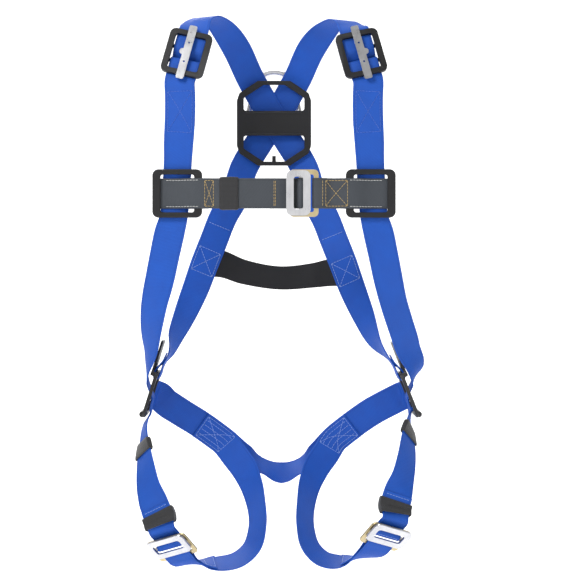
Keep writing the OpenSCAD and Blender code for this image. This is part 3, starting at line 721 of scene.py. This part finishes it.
def sew_rear_straps(lines):
    """A box-X where each end of the waist strap is sewn on, and a bar tack above the right one."""
    waist = lines["waist_strap"]
    waist_seam = Seam("stitching_waist_strap", BODY_OF[waist.node], "thread_white")
    for at in (18 * MM, waist.length - 18 * MM):
        point = waist.at(at)
        waist_seam.box(waist, at, 28 * MM, SEW_WAIST, -front_of(waist, at))
        node = min(("rear_strap_left", "rear_strap_right"),
                   key=lambda n: (lines[n].at(lines[n].nearest(point, 0.3)) - point).length)
        line = lines[node]
        here = line.nearest(point, 0.3)
        face = front_of(line, here)
        seam = Seam("stitching_" + node, BODY_OF[node], "thread_pale")
        seam.box(line, here, 40 * MM, SEW, face)
        row_across(seam, line, here - 62 * MM, SEW, face)
        seam.close("webbing_blue")
    waist_seam.close("webbing_black")


def sew_seat(lines):
    """The leg straps sewn on the front of the seat strap, and the seat strap's laps at the hips."""
    seat = lines["seat_strap"]
    for s in SIDES:
        line = lines["leg_strap_" + s]
        seam = Seam("stitching_leg_strap_" + s, BODY_OF[line.node], "thread_pale")
        face = front_of(line, 20 * MM)
        for v in (-12, -4, 4, 12):
            seam.sew(line, (5 * MM, v * MM), (52 * MM, v * MM), face)
        seam.box(line, 28 * MM, 50 * MM, SEW, face)
        lap = line.length - 10 * MM
        seam.box(line, lap, 14 * MM, SEW, front_of(line, lap), cross=False)
        seam.close("webbing_blue")
    seam = Seam("stitching_seat_strap", BODY_OF[seat.node], "thread_pale")
    for at in (14 * MM, seat.length - 14 * MM):
        for face in (-1, 1):
            seam.box(seat, at, 20 * MM, SEW, face, cross=False)
    seam.close("webbing_blue")


def front_layer(line, x):
    """Arc length at which a chest web's foremost layer crosses x."""
    near = np.abs(line.place[:, 0] - x) < 3 * MM
    return float(line.s[np.argmin(np.where(near, line.place[:, 1], 9.0))])


def sew_chest_join(seam, line, side):
    """Where a chest web's loop is closed: a box-X to the right, a narrow one and a tack to the left."""
    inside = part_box("chest_frame_right")[0].x
    link_lo, link_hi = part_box("chest_buckle_link")
    if side == "right":
        s = front_layer(line, (link_hi.x + inside) / 2 + 9 * MM)
        seam.box(line, s, 34 * MM, SEW_CHEST, front_of(line, s))
        row_across(seam, line, s + 22 * MM, SEW_CHEST, front_of(line, s))
        return
    s = front_layer(line, 13 * MM - inside)
    seam.box(line, s, 13 * MM, SEW_CHEST, front_of(line, s))
    tack = front_layer(line, link_lo.x - 16 * MM)
    for step in (0, 2 * MM):
        row_across(seam, line, tack + step, SEW_CHEST, front_of(line, tack))


def sew_chest(lines):
    """Gold boxes and bar tacks on the chest webs, and white lines along their folds at the frames."""
    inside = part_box("chest_frame_right")[0].x
    for side, sign in (("left", -1), ("right", 1)):
        line = lines["chest_web_" + side]
        seam = Seam("stitching_chest_web_" + side, BODY_OF[line.node], "thread_gold")
        edge = Seam("edge_line_chest_web_" + side, BODY_OF[line.node], "thread_white")
        sew_chest_join(seam, line, side)
        start, end = sorted(front_layer(line, sign * (inside + x * MM)) for x in (8, 52))
        face = front_of(line, (start + end) / 2)
        for v in (-19.5 * MM, 19.5 * MM):
            edge.sew(line, (start, v), (end, v), face)
        seam.close("webbing_grey")
        edge.close("webbing_grey")


def sew_all(lines):
    sew_front_straps(lines)
    sew_rear_straps(lines)
    sew_seat(lines)
    sew_chest(lines)


# ---- Stage ----

def make_stage():
    lo, hi = cad_bounds
    floor = lo.z - 30 * MM
    depth, bend, steps = 1.6, 0.9, 16
    outline = [(-3.2, floor), (depth, floor)]
    outline += [(depth + bend * math.sin(a), floor + bend * (1 - math.cos(a)))
                for a in (math.pi / 2 * k / steps for k in range(1, steps + 1))]
    outline.append((depth + bend, floor + 5.0))
    points = [(x, y, z) for x in (-5.0, 5.0) for y, z in outline]
    n = len(outline)
    faces = [(i, i + 1, n + i + 1, n + i) for i in range(n - 1)]
    mesh = mesh_of("backdrop", points, faces)
    s = Shader("pale_paper")
    place = s.add("ShaderNodeTexCoord").outputs["Object"]
    paper = s.mix(s.noise(place, 3), (0.90, 0.90, 0.90), (0.93, 0.93, 0.93))
    mesh.materials.append(s.finish(Base_Color=paper, Roughness=0.9,
                                   Emission_Color=(1, 1, 1, 1), Emission_Strength=0.42))
    obj = bpy.data.objects.new("backdrop", mesh)
    bpy.context.scene.collection.objects.link(obj)


def lamp(name, place, aim, power, size):
    data = bpy.data.lights.new(name, "AREA")
    data.energy, data.size = power, size
    obj = bpy.data.objects.new(name, data)
    obj.location = place
    obj.rotation_euler = (Vector(aim) - Vector(place)).to_track_quat("-Z", "Y").to_euler()
    bpy.context.scene.collection.objects.link(obj)


def make_lights():
    aim = (0, 0, -0.32)
    lamp("key", (-0.9, -1.4, 0.9), (0, 0, -0.25), 24, 0.7)
    lamp("fill", (2.0, -2.0, 0.2), aim, 12, 1.6)
    lamp("top", (0.0, 0.2, 2.0), aim, 22, 1.2)
    lamp("front", (0.3, -3.4, 0.1), aim, 8, 2.0)
    lamp("rim", (-0.5, 2.0, 0.9), aim, 26, 1.0)
    world = bpy.data.worlds.new("studio")
    world.use_nodes = True
    world.node_tree.nodes["Background"].inputs[0].default_value = (1, 1, 1, 1)
    world.node_tree.nodes["Background"].inputs[1].default_value = 0.36
    bpy.context.scene.world = world


def make_camera():
    """Seen from in front at the height of the hips, as a product picture is taken."""
    data = bpy.data.cameras.new("camera")
    data.sensor_width = 36
    data.lens = 88.6
    data.shift_x = 0.0243
    obj = bpy.data.objects.new("camera", data)
    obj.location = (0, -2.320, -0.320)
    obj.rotation_euler = (math.pi / 2, 0, 0)
    bpy.context.scene.collection.objects.link(obj)
    bpy.context.scene.camera = obj
    bpy.context.scene.view_settings.view_transform = "Standard"


LINES = make_straps()
make_hardware()
make_keepers(LINES)
sew_all(LINES)
make_stage()
make_lights()
make_camera()
